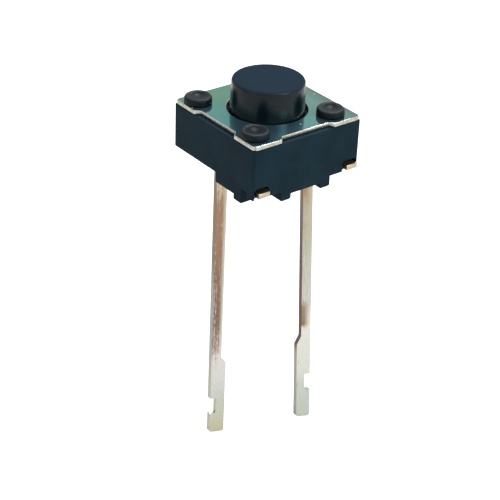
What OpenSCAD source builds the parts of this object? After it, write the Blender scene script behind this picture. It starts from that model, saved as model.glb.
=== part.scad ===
// Tactile push button switch: square moulded body, staked cover plate, round button, two long leads.
// Millimetres. Z = 0 is the face of the circuit board, the button moves along Z, the leads leave along -Z.
// The front of the body, with the cut ends of the terminals, faces -Y.

/* [Body] */
// Side of the square body
body_w = 6; // [5.8:0.1:7]
// Radius of the upright corners of the body
body_corner_r = 0.12; // [0.05:0.01:0.2]
// Height of the walls, from their lower edge to the cover plate
wall_h = 2.13; // [2:0.01:2.6]
// Height of the plinth below the walls
plinth_h = 0.48; // [0.4:0.02:0.7]
// Distance of the plinth behind the front face
plinth_setback = 0.85; // [0.7:0.05:1]
// Depth by which the front wall comes down below the other walls
skirt_drop = 0.25; // [0.15:0.01:0.35]
// Thickness of that part of the front wall
skirt_t = 0.45; // [0.4:0.05:0.6]
// Width of the rib that runs from front to back under the body
rib_w = 2.8; // [2.4:0.1:3.2]
// Wall around the cavity, at its thinnest
wall_t = 0.82; // [0.7:0.01:1]
// Width of the step that narrows the cavity down to the pocket of the dome
pocket_step = 0.17; // [0.1:0.01:0.3]
// Height of that pocket
pocket_h = 0.35; // [0.2:0.05:0.4]

/* [Feet] */
// Height of the feet, which hold the plinth off the board
foot_h = 0.32; // [0.15:0.01:0.4]
// Width of a foot under the rib
foot_w = 0.56; // [0.4:0.02:0.8]
// Length of a foot under the rib
foot_len = 0.85; // [0.5:0.05:1]
// Width of a foot at the front corner of the plinth
corner_foot_w = 0.9; // [0.6:0.05:1.1]
// Length of a foot at the front corner of the plinth
corner_foot_len = 0.55; // [0.4:0.05:0.8]
// Chamfer around the underside of each foot
foot_chamfer = 0.1; // [0.04:0.01:0.14]

/* [Staked bosses] */
// Distance of the centre of a boss inside the faces of the body
boss_inset = 0.88; // [0.8:0.02:1]
// Distance by which the four bosses stand left of the middle
boss_shift = 0.2; // [0:0.02:0.2]
// Diameter of a boss where it passes through the plate
boss_d = 0.8; // [0.6:0.05:0.9]
// Diameter of the flattened head
head_d = 1.28; // [1.1:0.02:1.4]
// Height of the flattened head above the plate
head_h = 0.38; // [0.22:0.01:0.45]
// Radius of the rounded edge of the head
head_edge_r = 0.18; // [0.05:0.01:0.2]
// Diameter of the dimple left in the head by the staking tool
dimple_d = 0.6; // [0.3:0.05:0.8]
// Depth of that dimple
dimple_depth = 0.07; // [0.03:0.01:0.12]

/* [Cover plate] */
// Thickness of the plate
plate_t = 0.2; // [0.15:0.01:0.3]
// Distance of the edge of the plate inside the face of the body
plate_inset = 0.02; // [0:0.01:0.1]
// Radius of the corners of the plate
plate_corner_r = 0.22; // [0.1:0.02:0.4]
// Length that stays full at each end of an edge with a recess
corner_len = 1.5; // [1.3:0.1:1.8]
// Depth of the recess in the front edge and in the left edge
recess_depth = 0.24; // [0.1:0.02:0.3]

/* [Button] */
// Height of the button above the plate
button_rise = 1.43; // [0.8:0.01:4]
// Radius of the rounded rim of the button
button_rim_r = 0.16; // [0.05:0.01:0.4]
// Draft angle of the side of the button
button_draft = 2; // [0:0.5:4]
// Width of the flange that keeps the button under the plate
flange_lip = 0.38; // [0.25:0.01:0.5]
// Thickness of that flange
flange_t = 0.6; // [0.4:0.05:0.7]
// Diameter of the nib that presses the dome
nib_d = 1.2; // [0.8:0.1:1.8]
// Travel of the button
travel = 0.25; // [0.15:0.01:0.35]

/* [Contact dome] */
// Thickness of the dome
dome_t = 0.07; // [0.05:0.01:0.1]

/* [Terminals] */
// Thickness of the terminal sheet
sheet_t = 0.25; // [0.2:0.01:0.3]
// Distance of the middle of a lead inside the side face of the body
lead_inset = 0.5; // [0.45:0.05:0.7]
// Width of a lead, and of the strip that it is bent from
lead_w = 0.62; // [0.5:0.02:0.7]
// Depth of the strips inside the lower edge of the walls
strip_embed = 0.125; // [0.05:0.005:0.15]
// Length of the cut ends that stand out of the front face
tab_out = 0.2; // [0.02:0.02:0.3]
// Inside radius of the bend at the top of a lead
bend_r = 0.12; // [0.08:0.01:0.2]
// Width of the arms inside the body
arm_w = 0.7; // [0.5:0.05:0.8]
// Height of the contact pads above the strips
pad_rise = 0.3; // [0.25:0.01:0.4]
// Side of the centre contact pad
centre_pad_w = 0.9; // [0.7:0.1:1.1]
// Width of the rim contact pad
rim_pad_w = 0.6; // [0.5:0.05:0.7]
// Length of the rim contact pad, from front to back
rim_pad_len = 2.9; // [2.6:0.1:3.1]
// Distance of the rim contact pad from the middle of its lead
rim_pad_inset = 0.75; // [0.7:0.05:0.85]
// Diameter of the raised contact point on the centre pad
point_d = 0.5; // [0.3:0.1:0.6]
// Height of that contact point
point_h = 0.05; // [0.02:0.01:0.08]

/* [Leads below the board] */
// Length of the narrow part of a lead, from the face of the board down to its shoulder
narrow_len = 9.7; // [8:0.1:11]
// Length of the slanting shoulder where a lead widens
shoulder_len = 0.4; // [0.2:0.05:0.6]
// Amount by which it widens, on its inner edge
shoulder_w = 0.28; // [0.1:0.02:0.4]
// Length of the wide part, from the shoulder to the notch in its outer edge
paddle_len = 1.97; // [1:0.01:3]
// Height of the notch
notch_h = 0.9; // [0.6:0.05:1.1]
// Depth of the notch into the lead
notch_depth = 0.36; // [0.2:0.02:0.4]
// Length of the left lead below its notch
tip_len_left = 1.18; // [0.5:0.01:3]
// Length of the right lead below its notch
tip_len_right = 1.65; // [0.5:0.01:3]
// Chamfer of the two corners at the tip
tip_chamfer = 0.1; // [0.03:0.01:0.15]
// Angle of the notches and of the cut tips, which are lower on the right
cut_angle = 18; // [0:1:20]
// Distance by which the tip of the left lead leans forward
lean_left = -0.08; // [-0.5:0.02:1.2]
// Distance by which the tip of the right lead leans forward
lean_right = 1.04; // [-0.5:0.02:1.2]

/* [Clearances] */
// Around the button, in the plate
button_gap = 0.13; // [0.1:0.01:0.25]
// Around each boss, in the plate
boss_gap = 0.03; // [0.02:0.01:0.06]
// Around the flange, in the cavity
flange_gap = 0.08; // [0.05:0.01:0.12]
// Between the flange and the plate
lift_gap = 0.02; // [0.01:0.01:0.04]
// Around the rim of the dome, in its pocket
dome_gap = 0.06; // [0.04:0.01:0.1]
// Between the nib and the dome
nib_gap = 0.02; // [0.01:0.01:0.04]
// Beside the cut ends of the terminals, in the front wall
tab_gap = 0.08; // [0.04:0.01:0.1]
// Above those cut ends, where the corners of the notch are round
tab_headroom = 0.14; // [0.08:0.01:0.2]
// Depth of the notches around them
tab_notch = 0.3; // [0.15:0.05:0.4]

/* [Hidden] */
$fn = 64;
half_w = body_w / 2;
plinth_z = foot_h;
wall_z = plinth_z + plinth_h;
top_z = wall_z + wall_h;
plate_top_z = top_z + plate_t;
button_top_z = plate_top_z + button_rise;
strip_z = wall_z + strip_embed - sheet_t;
strip_top_z = strip_z + sheet_t;
floor_z = strip_top_z + pad_rise;
lead_x = half_w - lead_inset;
bend_y = -(bend_r + sheet_t / 2);
bend_z = strip_z - bend_r;
plinth_y = -half_w + plinth_setback;
dome_rise = travel + point_h;
dome_top_z = floor_z + dome_rise + dome_t;
flange_top_z = top_z - lift_gap;
nib_z = dome_top_z + nib_gap;
cavity_r = half_w - wall_t;
pocket_r = cavity_r - pocket_step;
flange_r = cavity_r - flange_gap;
button_r = flange_r - flange_lip;
dome_r = pocket_r - dome_gap;
arm_y = bend_y - arm_w / 2;
recess_half = half_w - corner_len;
button_rim_z = button_top_z - button_rim_r;
button_side_r = button_r - (button_rim_z - flange_top_z) * tan(button_draft);
button_rim_x = button_side_r - button_rim_r / cos(button_draft);
// Angle by which a bend runs on into the straight parts on either side, so that they fuse
bend_overlap = 1;

// Square with rounded corners, centred
module rounded_square(w, r) {
  inner = w - 2 * r;
  square([w, inner], center = true);
  square([inner, w], center = true);
  for (x = [-1, 1], y = [-1, 1]) translate([x, y] * inner / 2) circle(r);
}

// Points of an arc around a centre, from one angle to another
function arc(centre, r, from, to, steps = 12) =
  [for (i = [0:steps]) let (a = from + (to - from) * i / steps) centre + r * [cos(a), sin(a)]];

// Copies its children to the places of the four bosses
module at_bosses() {
  for (x = [-1, 1], y = [-1, 1]) translate([x, y] * (half_w - boss_inset) - [boss_shift, 0]) children();
}

// Foot on the board, with its front left corner at the origin and a chamfer all round its underside
module foot(w, len) {
  intersection() {
    translate([0, len, 0]) rotate([90, 0, 0]) linear_extrude(len) foot_profile(w);
    rotate([90, 0, 90]) linear_extrude(w) foot_profile(len);
  }
}

module foot_profile(w) {
  h = foot_h + plinth_h;
  polygon([
    [foot_chamfer, 0], [w - foot_chamfer, 0], [w, foot_chamfer],
    [w, h], [0, h], [0, foot_chamfer]
  ]);
}

module feet() {
  for (side = [0, 1]) mirror([side, 0, 0]) {
    translate([-half_w, plinth_y, 0]) foot(corner_foot_w, corner_foot_len);
    for (back = [0, 1]) mirror([0, back, 0])
      translate([-rib_w / 2, -half_w, 0]) foot(foot_w, foot_len);
  }
}

// Boss as it stands after staking: a shank through the plate and a rounded head with a dimple
module staked_boss() {
  cylinder(h = plate_top_z - wall_z, d = boss_d);
  translate([0, 0, plate_top_z - wall_z]) rotate_extrude() {
    dimple_r = (pow(dimple_d / 2, 2) + pow(dimple_depth, 2)) / (2 * dimple_depth);
    dimple_angle = asin(dimple_d / 2 / dimple_r);
    polygon(concat(
      [[0, 0], [head_d / 2, 0]],
      arc([head_d / 2 - head_edge_r, head_h - head_edge_r], head_edge_r, 0, 90),
      arc([0, head_h - dimple_depth + dimple_r], dimple_r, -90 + dimple_angle, -90)
    ));
  }
}

// Front wall below the edge of the other walls
module front_skirt() {
  translate([0, 0, wall_z - skirt_drop]) linear_extrude(skirt_drop + strip_embed) intersection() {
    rounded_square(body_w, body_corner_r);
    translate([-half_w, -half_w]) square([body_w, skirt_t]);
  }
}

// Notch in the front wall around the cut end of a strip, open below and with round upper corners
module tab_notch_shape() {
  w = lead_w + 2 * tab_gap;
  h = strip_top_z + tab_headroom;
  r = tab_headroom;
  rotate([90, 0, 0]) linear_extrude(2 * tab_notch, center = true) {
    translate([-w / 2, 0]) square([w, h - r]);
    translate([-w / 2 + r, 0]) square([w - 2 * r, h]);
    for (x = [-1, 1]) translate([x * (w / 2 - r), h - r]) circle(r);
  }
}

// Moulded body: walls, plinth, rib, feet and bosses, around the cavity and the terminals
module housing() {
  color("#22303a") difference() {
    union() {
      translate([0, 0, wall_z]) {
        linear_extrude(wall_h) rounded_square(body_w, body_corner_r);
        at_bosses() staked_boss();
      }
      front_skirt();
      translate([-half_w, plinth_y, plinth_z]) cube([body_w, bend_y - plinth_y, plinth_h + strip_embed]);
      translate([-rib_w / 2, -half_w, plinth_z]) cube([rib_w, body_w, plinth_h + strip_embed]);
      feet();
    }
    translate([0, 0, floor_z]) cylinder(h = plate_top_z - floor_z, r = pocket_r);
    translate([0, 0, floor_z + pocket_h]) cylinder(h = plate_top_z - floor_z - pocket_h, r = cavity_r);
    for (x = [-1, 1]) translate([x * lead_x, -half_w, 0]) tab_notch_shape();
    left_terminal_shape();
    right_terminal_shape();
  }
}

// Stamped cover plate with two recessed edges, a hole for the button and four for the bosses
module cover_plate() {
  edge = half_w - plate_inset;
  color("#5f9f8a") translate([0, 0, top_z]) linear_extrude(plate_t) difference() {
    rounded_square(2 * edge, plate_corner_r);
    for (a = [180, 270]) rotate(a) translate([edge, 0]) polygon([
      [recess_depth, -recess_half - recess_depth], [-recess_depth, -recess_half + recess_depth],
      [-recess_depth, recess_half - recess_depth], [recess_depth, recess_half + recess_depth]
    ]);
    circle(button_r + button_gap);
    at_bosses() circle(d = boss_d + 2 * boss_gap);
  }
}

// Turned profile of the button: nib, flange and slightly tapered round key
module button() {
  color("#2b3944") rotate_extrude() polygon(concat(
    [
      [0, nib_z], [nib_d / 2, nib_z], [nib_d / 2, flange_top_z - flange_t],
      [flange_r, flange_top_z - flange_t], [flange_r, flange_top_z], [button_r, flange_top_z]
    ],
    arc([button_rim_x, button_rim_z], button_rim_r, button_draft, 90),
    [[0, button_top_z]]
  ));
}

// Snap dome: a shallow spherical cap that stands on its rim
module contact_dome() {
  r = (pow(dome_r, 2) + pow(dome_rise, 2)) / (2 * dome_rise);
  half_angle = asin(dome_r / r);
  centre = [0, dome_rise - r];
  color("#c8ccd0") translate([0, 0, floor_z]) rotate_extrude() polygon(concat(
    arc(centre, r, 90 - half_angle, 90),
    arc(centre, r + dome_t, 90, 90 - half_angle)
  ));
}

// Strip, bend and lead of the left terminal, about the line that the lead comes down
module lead_shape(tip_len, lean, slant) {
  len = bend_z + narrow_len + shoulder_len + paddle_len + notch_h + tip_len;
  tilt = atan(lean / len);
  translate([-lead_w / 2, -half_w - tab_out, strip_z]) cube([lead_w, half_w + tab_out + bend_y, sheet_t]);
  translate([0, bend_y, bend_z]) {
    translate([lead_w / 2, 0, 0]) rotate([0, -90, 0]) rotate(-bend_overlap)
      rotate_extrude(angle = 90 + tilt + 2 * bend_overlap) translate([bend_r, 0]) square([sheet_t, lead_w]);
    rotate([-tilt, 0, 0]) translate([0, bend_r + sheet_t, 0]) rotate([90, 0, 0])
      linear_extrude(sheet_t) lead_profile(len, slant);
  }
}

// Flat outline of a lead below its bend, with its inner edge towards +X and its cuts falling by slant
module lead_profile(len, slant) {
  outer = -lead_w / 2;
  inner = lead_w / 2;
  wide = inner + shoulder_w;
  shoulder = -bend_z - narrow_len;
  notch = shoulder - shoulder_len - paddle_len;
  function cut(x, z) = [x, z - x * tan(slant)];
  polygon([
    [outer, 0], [inner, 0], [inner, shoulder], [wide, shoulder - shoulder_len],
    cut(wide, -len) + [0, tip_chamfer], cut(wide - tip_chamfer, -len),
    cut(outer + tip_chamfer, -len), cut(outer, -len) + [0, tip_chamfer],
    cut(outer, notch - notch_h), cut(outer + notch_depth, notch - notch_h),
    cut(outer + notch_depth, notch), cut(outer, notch)
  ]);
}

// Arm that runs along +X for low, slopes up by pad_rise and runs on for high
module joggled_arm(low, high) {
  bend = sheet_t * tan(22.5);
  translate([0, arm_w / 2, 0]) rotate([90, 0, 0]) linear_extrude(arm_w) polygon([
    [0, 0], [low, 0], [low + pad_rise, pad_rise], [low + pad_rise + high, pad_rise],
    [low + pad_rise + high, pad_rise + sheet_t], [low + pad_rise - bend, pad_rise + sheet_t],
    [low - bend, sheet_t], [0, sheet_t]
  ]);
}

// Left terminal: its arm passes under the rim of the dome and rises to the centre contact
module left_terminal_shape() {
  edge = centre_pad_w / 2;
  translate([-lead_x, 0, 0]) lead_shape(tip_len_left, lean_left, cut_angle);
  translate([-lead_x, arm_y, strip_z]) joggled_arm(lead_x - edge - pad_rise, centre_pad_w);
  translate([-edge, arm_y, floor_z - sheet_t]) cube([centre_pad_w, edge - arm_y, sheet_t]);
  translate([0, 0, floor_z - sheet_t / 2]) cylinder(h = sheet_t / 2 + point_h, d = point_d);
}

// Right terminal: its arm rises to a long pad that carries one side of the rim of the dome
module right_terminal_shape() {
  translate([lead_x, 0, 0]) mirror([1, 0, 0]) lead_shape(tip_len_right, lean_right, -cut_angle);
  translate([lead_x, arm_y, strip_z]) rotate([0, 0, 180]) joggled_arm(rim_pad_inset - pad_rise, rim_pad_w);
  translate([lead_x - rim_pad_inset - rim_pad_w, -rim_pad_len / 2, floor_z - sheet_t])
    cube([rim_pad_w, rim_pad_len, sheet_t]);
}

module terminal_left() {
  color("#b0937a") left_terminal_shape();
}

module terminal_right() {
  color("#b0937a") right_terminal_shape();
}

housing();
cover_plate();
button();
contact_dome();
terminal_left();
terminal_right();
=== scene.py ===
# Tactile push button switch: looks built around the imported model.
# All in metres, in the frame of the model: the board's face is at z = 0 and the button moves along Z.
import math

import bpy
from mathutils import Matrix, Vector


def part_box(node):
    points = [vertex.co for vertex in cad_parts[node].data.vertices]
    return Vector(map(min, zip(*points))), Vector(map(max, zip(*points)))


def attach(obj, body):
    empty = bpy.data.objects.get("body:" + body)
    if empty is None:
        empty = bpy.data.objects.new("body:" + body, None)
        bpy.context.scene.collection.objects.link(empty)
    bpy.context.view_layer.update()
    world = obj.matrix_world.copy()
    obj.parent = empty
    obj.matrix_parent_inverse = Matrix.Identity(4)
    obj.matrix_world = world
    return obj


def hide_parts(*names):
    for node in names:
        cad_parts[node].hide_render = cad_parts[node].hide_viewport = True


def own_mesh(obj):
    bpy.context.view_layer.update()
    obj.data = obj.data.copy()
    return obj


mm = 0.001
white = (1, 1, 1, 1)
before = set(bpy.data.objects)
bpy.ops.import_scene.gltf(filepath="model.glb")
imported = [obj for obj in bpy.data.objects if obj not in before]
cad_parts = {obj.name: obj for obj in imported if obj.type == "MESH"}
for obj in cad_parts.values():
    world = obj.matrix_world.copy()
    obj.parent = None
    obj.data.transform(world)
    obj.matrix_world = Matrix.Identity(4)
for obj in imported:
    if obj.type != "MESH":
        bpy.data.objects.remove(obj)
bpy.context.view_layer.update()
print("frame loaded:", ", ".join(sorted(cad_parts)))


def linear(hexColour):
    channels = [int(hexColour[i:i + 2], 16) / 255 for i in (1, 3, 5)]
    return [c / 12.92 if c <= 0.04045 else ((c + 0.055) / 1.055) ** 2.4 for c in channels] + [1.0]


# Settings name sockets or properties, links name the sockets to feed.
def addNode(tree, kind, settings=None, links=None):
    node = tree.nodes.new(kind)
    for key, value in (settings or {}).items():
        if isinstance(key, int) or key in node.inputs:
            node.inputs[key].default_value = value
        else:
            setattr(node, key, value)
    for key, source in (links or {}).items():
        tree.links.new(source, node.inputs[key])
    return node


def newMaterial(name):
    material = bpy.data.materials.new(name)
    material.use_nodes = True
    material.node_tree.nodes.clear()
    return material, material.node_tree


def finishMaterial(tree, shader):
    addNode(tree, "ShaderNodeOutputMaterial", {}, {"Surface": shader.outputs[0]})


def direction(azimuth, elevation):  # both in degrees, azimuth from +X towards +Y
    a, e = math.radians(azimuth), math.radians(elevation)
    return Vector((math.cos(a) * math.cos(e), math.sin(a) * math.cos(e), math.sin(e)))


camera = {
    "azimuth": -128.34,    # degrees, from a fit to the corners of the body and to the leads
    "elevation": 30.64,
    "roll": 2.375,
    "distance": 63.1,      # mm
    "right": -0.774,       # mm, offset of the view's middle from the plate's underside
    "up": -6.255,
    "targetZ": 2.93,
    "focalPixels": 1400,   # on an image as wide as imagePixels
    "imagePixels": 500,
    "sensor": 36,          # mm
    "clip": (0.001, 10),   # m
}


def makeCamera(c):
    back = direction(c["azimuth"], c["elevation"])
    side = Vector((0, 0, 1)).cross(back).normalized()
    top = back.cross(side)
    roll = math.radians(c["roll"])
    right = side * math.cos(roll) + top * math.sin(roll)
    up = top * math.cos(roll) - side * math.sin(roll)
    place = right * c["right"] + up * c["up"] + back * c["distance"] + Vector((0, 0, c["targetZ"]))
    data = bpy.data.cameras.new("camera")
    data.sensor_width = c["sensor"]
    data.lens = c["focalPixels"] * c["sensor"] / c["imagePixels"]
    data.clip_start, data.clip_end = c["clip"]
    cam = bpy.data.objects.new("camera", data)
    turned = Matrix((right, up, back)).transposed().to_4x4()
    cam.matrix_world = Matrix.Translation(place * mm) @ turned
    bpy.context.scene.collection.objects.link(cam)
    bpy.context.scene.camera = cam


makeCamera(camera)
print("camera placed")

studio = {
    "skyTop": 0.95,         # strength of the room light from above
    "skyLow": 0.35,         # and from the horizon down
    "skyFrom": -0.1,        # heights on the unit sphere between which it changes
    "skyTo": 0.55,
    "floorZ": -14.75,       # mm, just under the longer lead
    "floorSize": 6.0,       # m
    "floorColour": "#d2d2d0",
    "floorGlow": 0.45,      # seen by the camera alone, so the background is white and keeps the shadow
    "lightDistance": 0.35,  # m
    "lights": {             # direction in degrees, size in m, power in W
        "frontSoftbox": {"azimuth": -76, "elevation": 34, "size": 0.13, "power": 0.68},
        "leftSoftbox": {"azimuth": 180, "elevation": 32, "size": 0.08, "power": 0.1},
        "topSoftbox": {"azimuth": 40, "elevation": 50, "size": 0.08, "power": 0.85},
    },
}


def makeWorld(s):
    world = bpy.data.worlds.new("studio")
    bpy.context.scene.world = world
    world.use_nodes = True
    tree = world.node_tree
    tree.nodes.clear()
    path = addNode(tree, "ShaderNodeLightPath")
    place = addNode(tree, "ShaderNodeTexCoord")
    height = addNode(tree, "ShaderNodeSeparateXYZ", {}, {0: place.outputs["Generated"]})
    level = addNode(tree, "ShaderNodeMapRange", {
        "interpolation_type": "SMOOTHSTEP", "From Min": s["skyFrom"], "From Max": s["skyTo"],
        "To Min": s["skyLow"], "To Max": s["skyTop"]}, {"Value": height.outputs["Z"]})
    room = addNode(tree, "ShaderNodeBackground", {"Color": white}, {"Strength": level.outputs[0]})
    plain = addNode(tree, "ShaderNodeBackground", {"Color": white, "Strength": 1.0})
    mix = addNode(tree, "ShaderNodeMixShader", {}, {
        0: path.outputs["Is Camera Ray"], 1: room.outputs[0], 2: plain.outputs[0]})
    addNode(tree, "ShaderNodeOutputWorld", {}, {"Surface": mix.outputs[0]})


def makeFloor(s):
    bpy.ops.mesh.primitive_plane_add(size=s["floorSize"], location=(0, 0, s["floorZ"] * mm))
    floor = bpy.context.active_object
    floor.name = "floor"
    material, tree = newMaterial("pale table")
    path = addNode(tree, "ShaderNodeLightPath")
    plain = addNode(tree, "ShaderNodeBsdfDiffuse", {"Color": linear(s["floorColour"])})
    glow = addNode(tree, "ShaderNodeEmission", {"Color": white, "Strength": s["floorGlow"]})
    both = addNode(tree, "ShaderNodeAddShader", {}, {0: plain.outputs[0], 1: glow.outputs[0]})
    mix = addNode(tree, "ShaderNodeMixShader", {}, {
        0: path.outputs["Is Camera Ray"], 1: plain.outputs[0], 2: both.outputs[0]})
    finishMaterial(tree, mix)
    floor.data.materials.append(material)


def makeLight(name, spec, distance):
    away = direction(spec["azimuth"], spec["elevation"])
    data = bpy.data.lights.new(name, "AREA")
    data.shape = "SQUARE"
    data.size = spec["size"]
    data.energy = spec["power"]
    light = bpy.data.objects.new(name, data)
    light.location = away * distance
    light.rotation_euler = away.to_track_quat("Z", "Y").to_euler()
    bpy.context.scene.collection.objects.link(light)


makeWorld(studio)
makeFloor(studio)
for lightName, lightSpec in studio["lights"].items():
    makeLight(lightName, lightSpec, studio["lightDistance"])
bpy.context.scene.view_settings.view_transform = "Standard"
print("studio lit")

blotchRange = {"From Min": 0.32, "From Max": 0.68}  # where the noise mostly lies, spread to 0 to 1


def blotches(tree, size, detail=3, stretch=(1, 1, 1), roughness=0.5):  # blotches of a size in mm
    place = addNode(tree, "ShaderNodeTexCoord")
    scale = [1 / (size * mm * s) for s in stretch]
    mapped = addNode(tree, "ShaderNodeMapping", {"Scale": scale}, {"Vector": place.outputs["Object"]})
    cloud = addNode(tree, "ShaderNodeTexNoise", {
        "Scale": 1, "Detail": detail, "Roughness": roughness}, {"Vector": mapped.outputs[0]})
    return addNode(tree, "ShaderNodeMapRange", blotchRange, {"Value": cloud.outputs["Fac"]})


def along(tree, axis, stops):  # colour or level along an axis, through (place in mm, value) pairs
    low, high = stops[0][0], stops[-1][0]
    place = addNode(tree, "ShaderNodeTexCoord")
    part = addNode(tree, "ShaderNodeSeparateXYZ", {}, {0: place.outputs["Object"]})
    share = addNode(tree, "ShaderNodeMapRange", {"From Min": low * mm, "From Max": high * mm}, {
        "Value": part.outputs[axis]})
    node = addNode(tree, "ShaderNodeValToRGB", {}, {"Fac": share.outputs[0]})
    elements = node.color_ramp.elements
    while len(elements) < len(stops):
        elements.new(0.5)
    for element, (position, value) in zip(elements, stops):
        element.position = (position - low) / (high - low)
        element.color = linear(value) if isinstance(value, str) else (value, value, value, 1)
    return node


# Glass-filled nylon, moulded: blue-black and satin with a fine grain. The staked heads are darker,
# dished and catch a soft highlight.
nylon = {
    "dark": "#10222b", "light": "#152831", "patch": 0.9,  # patch in mm
    "grain": 0.03, "grainHeight": 0.003,                  # mm
    "grainDetail": 2, "ior": 1.53,
    "roughness": 0.5, "specular": 0.03,                   # specular far below the usual 0.5
    "head": "#09141a", "headRoughness": 0.46, "headSpecular": 0.12,
    "headFrom": 3.14, "headTo": 3.19,                     # mm, just over the plate
    "headX": (-2.32, 1.92), "headY": (-2.12, 2.12),       # mm, middles of the four heads
    "dish": 0.62, "dishDepth": 0.16,                      # mm
}


def mouldedNylon(name, n):
    material, tree = newMaterial(name)
    patch = blotches(tree, n["patch"])
    grain = blotches(tree, n["grain"], n["grainDetail"])
    head = along(tree, "Z", ((n["headFrom"], 0.0), (n["headTo"], 1.0)))
    body = addNode(tree, "ShaderNodeMix", {
        "data_type": "RGBA", 6: linear(n["dark"]), 7: linear(n["light"])}, {0: patch.outputs[0]})
    tone = addNode(tree, "ShaderNodeMix", {"data_type": "RGBA", 7: linear(n["head"])}, {
        0: head.outputs[0], 6: body.outputs[2]})
    rough = addNode(tree, "ShaderNodeMix", {
        "data_type": "FLOAT", 2: n["roughness"], 3: n["headRoughness"]}, {0: head.outputs[0]})
    gloss = addNode(tree, "ShaderNodeMix", {
        "data_type": "FLOAT", 2: n["specular"], 3: n["headSpecular"]}, {0: head.outputs[0]})
    place = addNode(tree, "ShaderNodeTexCoord")
    part = addNode(tree, "ShaderNodeSeparateXYZ", {}, {0: place.outputs["Object"]})
    offsets = []
    for axis, (low, high) in (("X", n["headX"]), ("Y", n["headY"])):  # distance to the nearest head
        centred = addNode(tree, "ShaderNodeMath", {"operation": "ADD", 1: -(low + high) / 2 * mm}, {
            0: part.outputs[axis]})
        folded = addNode(tree, "ShaderNodeMath", {"operation": "ABSOLUTE"}, {0: centred.outputs[0]})
        offset = addNode(tree, "ShaderNodeMath", {"operation": "ADD", 1: -(high - low) / 2 * mm}, {
            0: folded.outputs[0]})
        offsets.append(offset.outputs[0])
    radial = addNode(tree, "ShaderNodeCombineXYZ", {}, {0: offsets[0], 1: offsets[1]})
    radius = addNode(tree, "ShaderNodeVectorMath", {"operation": "LENGTH"}, {0: radial.outputs[0]})
    share = addNode(tree, "ShaderNodeMapRange", {"From Max": n["dish"] * mm}, {
        "Value": radius.outputs["Value"]})
    bowl = addNode(tree, "ShaderNodeMath", {"operation": "MULTIPLY"}, {
        0: share.outputs[0], 1: share.outputs[0]})
    bowl = addNode(tree, "ShaderNodeMath", {"operation": "MULTIPLY"}, {
        0: bowl.outputs[0], 1: head.outputs[0]})
    dished = addNode(tree, "ShaderNodeBump", {"Distance": n["dishDepth"] * mm}, {
        "Height": bowl.outputs[0]})
    bump = addNode(tree, "ShaderNodeBump", {"Distance": n["grainHeight"] * mm}, {
        "Height": grain.outputs[0], "Normal": dished.outputs[0]})
    shader = addNode(tree, "ShaderNodeBsdfPrincipled", {"IOR": n["ior"]}, {
        "Base Color": tone.outputs[2], "Roughness": rough.outputs[0],
        "Specular IOR Level": gloss.outputs[0], "Normal": bump.outputs[0]})
    finishMaterial(tree, shader)
    return material


# Acetal, moulded: the top is fine matt and slate blue, the drawn side is polished and shows soft
# upright bands of light.
acetal = {
    "top": "#162734", "rim": "#0e1d27", "rimShare": 0.25, "patch": 1.4,  # patch in mm
    "topRoughness": 0.6, "topSpecular": 0.02,
    "side": "#051218", "sideRoughness": 0.17, "sideSpecular": 0.26,
    "sideUntil": 0.25, "topFrom": 0.97,                   # how far the surface faces up
    "grain": 0.025, "grainHeight": 0.0015,                # mm
    "grainDetail": 2, "ior": 1.48,
}


def mouldedAcetal(name, a):
    material, tree = newMaterial(name)
    facing = addNode(tree, "ShaderNodeNewGeometry")
    part = addNode(tree, "ShaderNodeSeparateXYZ", {}, {0: facing.outputs["Normal"]})
    up = addNode(tree, "ShaderNodeMapRange", {"From Min": a["sideUntil"], "From Max": a["topFrom"]}, {
        "Value": part.outputs["Z"]})
    patch = blotches(tree, a["patch"])
    grain = blotches(tree, a["grain"], a["grainDetail"])
    blend = addNode(tree, "ShaderNodeMath", {"operation": "MULTIPLY", 1: a["rimShare"]}, {
        0: patch.outputs[0]})
    top = addNode(tree, "ShaderNodeMix", {
        "data_type": "RGBA", 6: linear(a["top"]), 7: linear(a["rim"])}, {0: blend.outputs[0]})
    tone = addNode(tree, "ShaderNodeMix", {"data_type": "RGBA", 6: linear(a["side"])}, {
        0: up.outputs[0], 7: top.outputs[2]})
    rough = addNode(tree, "ShaderNodeMix", {
        "data_type": "FLOAT", 2: a["sideRoughness"], 3: a["topRoughness"]}, {0: up.outputs[0]})
    gloss = addNode(tree, "ShaderNodeMix", {
        "data_type": "FLOAT", 2: a["sideSpecular"], 3: a["topSpecular"]}, {0: up.outputs[0]})
    bump = addNode(tree, "ShaderNodeBump", {"Distance": a["grainHeight"] * mm}, {
        "Height": grain.outputs[0]})
    shader = addNode(tree, "ShaderNodeBsdfPrincipled", {"IOR": a["ior"]}, {
        "Base Color": tone.outputs[2], "Roughness": rough.outputs[0],
        "Specular IOR Level": gloss.outputs[0], "Normal": bump.outputs[0]})
    finishMaterial(tree, shader)
    return material


# Clear green lacquer over bright steel: mirrors the button, with a few dust specks. The sheared edge is
# bare, pale and brushed across. A faint bluish diffuse share over the top and a tint that shifts across the
# plate are painted reflection of the room.
lacquer = {
    # the tint goes from teal at the front left to yellow-green at the back and olive at the front right:
    # painted reflection of the room across the mirror-like top, over the lacquer's own green
    "paintedReflectionByX": ((-3.0, "#358e8d"), (-1.6, "#358e8d"), (0.8, "#619b8c"), (2.2, "#709c84"), (3.0, "#5c6a50")),
    "back": "#6b9b70", "paintedReflectionBackShare": ((-0.6, 0.0), (2.2, 0.9)),
    "deep": "#548676", "deepShare": 0.35,
    "orangePeel": 0.7, "peelHeight": 0.0006,              # mm
    # a faint bluish diffuse share over the coated top: painted reflection of the room in the clear coat
    "roughness": 0.07, "paintedCoatReflection": "#6484a0", "paintedCoatReflectionShare": 0.13,
    "speckPitch": 1.7, "speckSize": 0.035,                # mm
    "speck": "#d5dfd6", "speckCore": 0.4,                 # share of the size before it fades
    "edge": "#d2cfc6", "edgeDark": "#a8a397", "edgeRoughness": 0.35,
    "sheared": 0.05, "shearedLength": 8,                  # mm, and times that
    "bareUntil": 0.93, "coatedFrom": 0.985,               # how far the surface faces up
}


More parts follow.
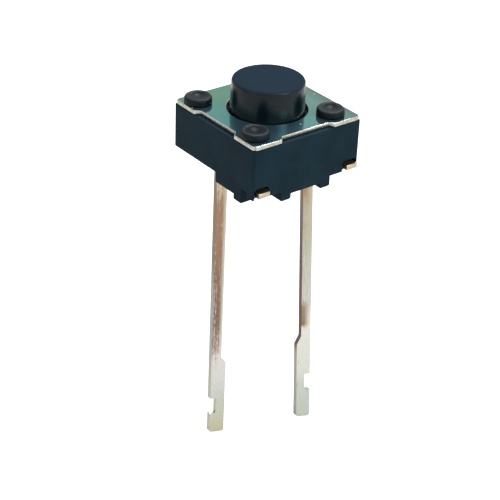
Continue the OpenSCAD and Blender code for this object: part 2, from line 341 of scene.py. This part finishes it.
def lacqueredSteel(name, q):
    material, tree = newMaterial(name)
    facing = addNode(tree, "ShaderNodeNewGeometry")
    part = addNode(tree, "ShaderNodeSeparateXYZ", {}, {0: facing.outputs["Normal"]})
    top = addNode(tree, "ShaderNodeMapRange", {"From Min": q["bareUntil"], "From Max": q["coatedFrom"]}, {
        "Value": part.outputs["Z"]})
    cloud = blotches(tree, q["orangePeel"])
    shear = blotches(tree, q["sheared"], stretch=(1, 1, q["shearedLength"]))
    # painted reflection: the green is set by place across the plate
    reflectionTintByX = along(tree, "X", q["paintedReflectionByX"])
    back = along(tree, "Y", q["paintedReflectionBackShare"])
    green = addNode(tree, "ShaderNodeMix", {"data_type": "RGBA", 7: linear(q["back"])}, {
        0: back.outputs[0], 6: reflectionTintByX.outputs[0]})
    depth = addNode(tree, "ShaderNodeMath", {"operation": "MULTIPLY", 1: q["deepShare"]}, {
        0: cloud.outputs[0]})
    green = addNode(tree, "ShaderNodeMix", {"data_type": "RGBA", 7: linear(q["deep"])}, {
        0: depth.outputs[0], 6: green.outputs[2]})
    bare = addNode(tree, "ShaderNodeMix", {
        "data_type": "RGBA", 6: linear(q["edgeDark"]), 7: linear(q["edge"])}, {0: shear.outputs[0]})
    tone = addNode(tree, "ShaderNodeMix", {"data_type": "RGBA"}, {
        0: top.outputs[0], 6: bare.outputs[2], 7: green.outputs[2]})
    rough = addNode(tree, "ShaderNodeMix", {
        "data_type": "FLOAT", 2: q["edgeRoughness"], 3: q["roughness"]}, {0: top.outputs[0]})
    bump = addNode(tree, "ShaderNodeBump", {"Distance": q["peelHeight"] * mm}, {
        "Height": cloud.outputs[0]})
    mirror = addNode(tree, "ShaderNodeBsdfPrincipled", {"Metallic": 1.0}, {
        "Base Color": tone.outputs[2], "Roughness": rough.outputs[0], "Normal": bump.outputs[0]})
    # painted reflection: a bluish diffuse share stands in for the clear coat's reflection of the room
    paintedCoatReflection = addNode(tree, "ShaderNodeBsdfDiffuse", {"Color": linear(q["paintedCoatReflection"])})
    paintedCoatReflectionAmount = addNode(tree, "ShaderNodeMath", {"operation": "MULTIPLY", 1: q["paintedCoatReflectionShare"]}, {
        0: top.outputs[0]})
    coated = addNode(tree, "ShaderNodeMixShader", {}, {
        0: paintedCoatReflectionAmount.outputs[0], 1: mirror.outputs[0], 2: paintedCoatReflection.outputs[0]})
    place = addNode(tree, "ShaderNodeTexCoord")
    cells = addNode(tree, "ShaderNodeTexVoronoi", {
        "voronoi_dimensions": "2D", "Scale": 1 / (q["speckPitch"] * mm)}, {
        "Vector": place.outputs["Object"]})
    speckEdge = q["speckSize"] / q["speckPitch"]
    near = addNode(tree, "ShaderNodeMapRange", {
        "From Min": speckEdge, "From Max": q["speckCore"] * speckEdge}, {
        "Value": cells.outputs["Distance"]})
    here = addNode(tree, "ShaderNodeMath", {"operation": "MULTIPLY"}, {
        0: near.outputs[0], 1: top.outputs[0]})
    speck = addNode(tree, "ShaderNodeBsdfDiffuse", {"Color": linear(q["speck"])})
    dusty = addNode(tree, "ShaderNodeMixShader", {}, {
        0: here.outputs[0], 1: coated.outputs[0], 2: speck.outputs[0]})
    finishMaterial(tree, dusty)
    return material


# Copper alloy strip, rolled and thinly tinned: the tin is worn in long streaks and copper shows, the
# tips stay silver. Heights are in mm from the board's face.
strip = {
    "streak": 0.07, "streakLength": 30, "streakDetail": 4, "streakRoughness": 0.6,  # mm, and times that
    "mottleLength": 2.5, "mottleDetail": 4, "mottleRoughness": 0.7, "mottleShare": 0.5,
    "wornFrom": 0.75, "wornTo": 1.25, "paleLevel": 0.1,
    "punchedFrom": 0.6, "punchedTo": 0.9,                 # how far the surface faces sideways
    "smooth": 0.22, "rough": 0.4,                         # roughness at the two ends of the streaks
    "bump": 0.4, "bumpHeight": 0.0015,                    # strength, and mm
}
leadLeft = {
    "mottle": 0.1, "paleFrom": -2.44, "paleTo": -2.26,    # mm
    # the sides: the bare cut edge, with painted shade and painted reflection in brown and blue-grey
    "cutEdgeShadeAndReflectionByHeight": (
        (-14.3, "#b4b6a2"), (-10.0, "#a6a99d"), (-8.0, "#9ba0a5"), (-5.5, "#a3a2a5"), (-4.0, "#857a70"),
        (0.6, "#857a70")),
    "wornByHeight": (
        (-12.5, 0.02), (-10.4, 0.08), (-9.5, 0.3), (-9.2, 0.62), (-7.0, 0.72), (-3.0, 0.8), (-1.0, 0.75),
        (0.6, 0.1)),
    "copperByHeight": (
        (-9.5, "#7b5f4c"), (-7.5, "#5c4534"), (-5.0, "#664a38"), (-3.0, "#7d5a45"), (0.6, "#7a5a40")),
    "bronzeByHeight": (
        (-9.5, "#b39a88"), (-7.5, "#8f745e"), (-5.0, "#9c7c66"), (-3.0, "#a98873"), (0.6, "#ac8c6e")),
    "tinByHeight": (
        (-14.3, "#b9b396"), (-13.0, "#c2c3b2"), (-11.5, "#cfd1cd"), (-9.6, "#d8d2ce"), (0.6, "#c4b69d")),
}
leadRight = {
    "mottle": 0.12, "paleFrom": 2.35, "paleTo": 2.7,      # mm
    "cutEdgeShadeAndReflectionByHeight": (
        # the sides: the bare cut edge, with painted shade and painted reflection in purple-brown
        (-14.6, "#94948b"), (-11.4, "#a59d90"), (-10.6, "#a59d90"), (-10.0, "#675855"), (-6.0, "#675855"),
        (-3.0, "#71666a"), (0.0, "#8a705e")),
    "wornByHeight": (
        (-13.0, 0.02), (-9.8, 0.08), (-9.3, 0.2), (-9.0, 0.95), (-8.1, 0.9), (-7.6, 0.2), (-6.5, 0.35),
        (-2.6, 0.45), (-1.6, 0.8), (0.4, 0.8), (0.6, 0.1)),
    "copperByHeight": (
        (-9.0, "#6f5740"), (-6.0, "#97907c"), (-3.0, "#8d8069"), (-1.5, "#806249"), (0.6, "#80624a")),
    "bronzeByHeight": (
        (-9.0, "#a58e6d"), (-6.0, "#b6b29f"), (-3.0, "#b4a891"), (-1.5, "#b3967a"), (0.6, "#b3967a")),
    "tinByHeight": (
        (-14.6, "#b8c0b6"), (-12.6, "#c0c7be"), (-11.6, "#d3d5cc"), (-8.8, "#dedad2"), (-7.8, "#c9c5c0"),
        (-6.4, "#c3c1b4"), (-4.0, "#b7b5a2"), (-1.0, "#bdb29c"), (0.6, "#c4b69d")),
}


def tinnedStrip(name, t):
    material, tree = newMaterial(name)
    streak = blotches(tree, t["streak"], t["streakDetail"], (1, 1, t["streakLength"]), t["streakRoughness"])
    mottle = blotches(tree, t["mottle"], t["mottleDetail"], (1, 1, t["mottleLength"]), t["mottleRoughness"])
    streak = addNode(tree, "ShaderNodeMix", {"data_type": "FLOAT", 0: t["mottleShare"]}, {
        2: streak.outputs[0], 3: mottle.outputs[0]})
    level = along(tree, "Z", t["wornByHeight"])
    total = addNode(tree, "ShaderNodeMath", {"operation": "ADD"}, {
        0: level.outputs[0], 1: streak.outputs[0]})
    worn = addNode(tree, "ShaderNodeMapRange", {"From Min": t["wornFrom"], "From Max": t["wornTo"]}, {
        "Value": total.outputs[0]})
    kept = along(tree, "X", ((t["paleFrom"], 1.0), (t["paleTo"], t["paleLevel"])))
    worn = addNode(tree, "ShaderNodeMath", {"operation": "MULTIPLY"}, {
        0: worn.outputs[0], 1: kept.outputs[0]})
    copper = along(tree, "Z", t["copperByHeight"])
    bronze = along(tree, "Z", t["bronzeByHeight"])
    tin = along(tree, "Z", t["tinByHeight"])
    brown = addNode(tree, "ShaderNodeMix", {"data_type": "RGBA"}, {
        0: streak.outputs[0], 6: copper.outputs[0], 7: bronze.outputs[0]})
    face = addNode(tree, "ShaderNodeMix", {"data_type": "RGBA"}, {
        0: worn.outputs[0], 6: tin.outputs[0], 7: brown.outputs[2]})
    normal = addNode(tree, "ShaderNodeNewGeometry")
    part = addNode(tree, "ShaderNodeSeparateXYZ", {}, {0: normal.outputs["Normal"]})
    sideways = addNode(tree, "ShaderNodeMath", {"operation": "ABSOLUTE"}, {0: part.outputs["X"]})
    punched = addNode(tree, "ShaderNodeMapRange", {
        "From Min": t["punchedFrom"], "From Max": t["punchedTo"]}, {"Value": sideways.outputs[0]})
    # the punched sides: the bare cut edge with painted shade and painted reflection, set by height
    side = along(tree, "Z", t["cutEdgeShadeAndReflectionByHeight"])
    tone = addNode(tree, "ShaderNodeMix", {"data_type": "RGBA"}, {
        0: punched.outputs[0], 6: face.outputs[2], 7: side.outputs[0]})
    rough = addNode(tree, "ShaderNodeMapRange", {"To Min": t["smooth"], "To Max": t["rough"]}, {
        "Value": streak.outputs[0]})
    bump = addNode(tree, "ShaderNodeBump", {
        "Strength": t["bump"], "Distance": t["bumpHeight"] * mm}, {"Height": streak.outputs[0]})
    shader = addNode(tree, "ShaderNodeBsdfPrincipled", {"Metallic": 1.0}, {
        "Base Color": tone.outputs[2], "Roughness": rough.outputs[0], "Normal": bump.outputs[0]})
    finishMaterial(tree, shader)
    return material


# Stainless spring steel, rolled bright: a smooth mirror with faint rolling lines.
springSteel = {
    "steel": "#c8ccd0", "line": "#bcc0c4", "pitch": 0.03, "lineLength": 20,  # mm, and times that
    "smooth": 0.15, "rough": 0.25,
}


def rolledSteel(name, r):
    material, tree = newMaterial(name)
    lines = blotches(tree, r["pitch"], stretch=(r["lineLength"], 1, 1))
    tone = addNode(tree, "ShaderNodeMix", {
        "data_type": "RGBA", 6: linear(r["line"]), 7: linear(r["steel"])}, {0: lines.outputs[0]})
    rough = addNode(tree, "ShaderNodeMapRange", {"To Min": r["smooth"], "To Max": r["rough"]}, {
        "Value": lines.outputs[0]})
    shader = addNode(tree, "ShaderNodeBsdfPrincipled", {"Metallic": 1.0}, {
        "Base Color": tone.outputs[2], "Roughness": rough.outputs[0]})
    finishMaterial(tree, shader)
    return material


materials = {
    "housing": mouldedNylon("glass-filled nylon, moulded", nylon),
    "button": mouldedAcetal("acetal, moulded fine matt", acetal),
    "cover_plate": lacqueredSteel("green lacquered steel, sheared edge", lacquer),
    "terminal_left": tinnedStrip("tinned copper strip, worn", {**strip, **leadLeft}),
    "terminal_right": tinnedStrip("tinned copper strip, pale", {**strip, **leadRight}),
    "contact_dome": rolledSteel("spring steel, rolled bright", springSteel),
}
print("materials made")

softEdges = {               # mm: the radius that moulding or shearing leaves on the edges of each piece
    "housing": {"radius": 0.035, "segments": 3, "body": "switch_body", "slot": "housing"},
    "cover_plate": {"radius": 0.04, "segments": 3, "body": "switch_body", "slot": "cover_plate"},
    "button": {"radius": 0.02, "segments": 2, "body": "button", "slot": "button"},
    "terminal_left": {"radius": 0.035, "segments": 2, "body": "switch_body", "slot": "terminals"},
    "terminal_right": {"radius": 0.035, "segments": 2, "body": "switch_body", "slot": "terminals"},
}
edgeWork = {
    "merge": 0.0002,        # mm
    "flat": 1,              # degrees: triangles of one face are joined up to this
    "sharp": 40,            # an edge over this is rounded
    "smooth": 35,           # and one under this is shaded smooth
    "faceWeight": 100,
}


def softenedCopy(nodeName, e, w):  # the node's own form with its edges rounded, in place of the node
    bpy.ops.object.select_all(action="DESELECT")
    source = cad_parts[nodeName]
    piece = source.copy()
    piece.data = source.data.copy()
    piece.name = nodeName + "_finished"
    piece.parent = None
    piece.matrix_world = Matrix.Identity(4)
    bpy.context.scene.collection.objects.link(piece)
    bpy.context.view_layer.objects.active = piece
    piece.select_set(True)
    bpy.ops.object.mode_set(mode="EDIT")
    bpy.ops.mesh.select_all(action="SELECT")
    bpy.ops.mesh.remove_doubles(threshold=w["merge"] * mm)
    bpy.ops.mesh.dissolve_limited(angle_limit=math.radians(w["flat"]))
    bpy.ops.object.mode_set(mode="OBJECT")
    bevel = piece.modifiers.new("softEdges", "BEVEL")
    bevel.width = e["radius"] * mm
    bevel.segments = e["segments"]
    bevel.angle_limit = math.radians(w["sharp"])
    bevel.use_clamp_overlap = False
    bpy.ops.object.modifier_apply(modifier=bevel.name)
    bpy.ops.object.shade_smooth_by_angle(angle=math.radians(w["smooth"]))
    even = piece.modifiers.new("evenShading", "WEIGHTED_NORMAL")  # flat faces stay flat between the edges
    even.keep_sharp = True
    even.weight = w["faceWeight"]
    bpy.ops.object.modifier_apply(modifier=even.name)
    piece.data.materials.clear()
    piece.data.materials.append(materials[nodeName])
    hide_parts(nodeName)
    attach(piece, e["body"])


for nodeName, edges in softEdges.items():
    softenedCopy(nodeName, edges, edgeWork)
print("edges softened")

snapDome = {
    "thickness": 0.07,      # mm
    "segments": 64,
    "rings": 96,
    "pressed": 0.3,         # share of its height that is left when the button is down
}


def makeSnapDome(d, w):  # cap of a sphere, thickened downwards
    low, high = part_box("contact_dome")
    rise = high[2] - low[2] - d["thickness"] * mm
    radius = (high[0] ** 2 + rise ** 2) / (2 * rise)
    bpy.ops.object.select_all(action="DESELECT")
    bpy.ops.mesh.primitive_uv_sphere_add(
        segments=d["segments"], ring_count=d["rings"], radius=radius, location=(0, 0, high[2] - radius))
    piece = bpy.context.active_object
    piece.name = "snap_dome"
    bpy.ops.object.transform_apply(location=True)
    bpy.ops.object.mode_set(mode="EDIT")
    bpy.ops.mesh.select_all(action="SELECT")
    bpy.ops.mesh.bisect(plane_co=(0, 0, high[2] - rise), plane_no=(0, 0, 1), clear_inner=True)
    bpy.ops.object.mode_set(mode="OBJECT")
    wall = piece.modifiers.new("sheet", "SOLIDIFY")
    wall.thickness = d["thickness"] * mm
    wall.offset = -1
    bpy.ops.object.modifier_apply(modifier=wall.name)
    bpy.ops.object.shade_smooth_by_angle(angle=math.radians(w["smooth"]))
    piece.data.materials.append(materials["contact_dome"])
    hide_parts("contact_dome")
    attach(piece, "switch_body")
    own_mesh(piece)


makeSnapDome(snapDome, edgeWork)
print("dome made")
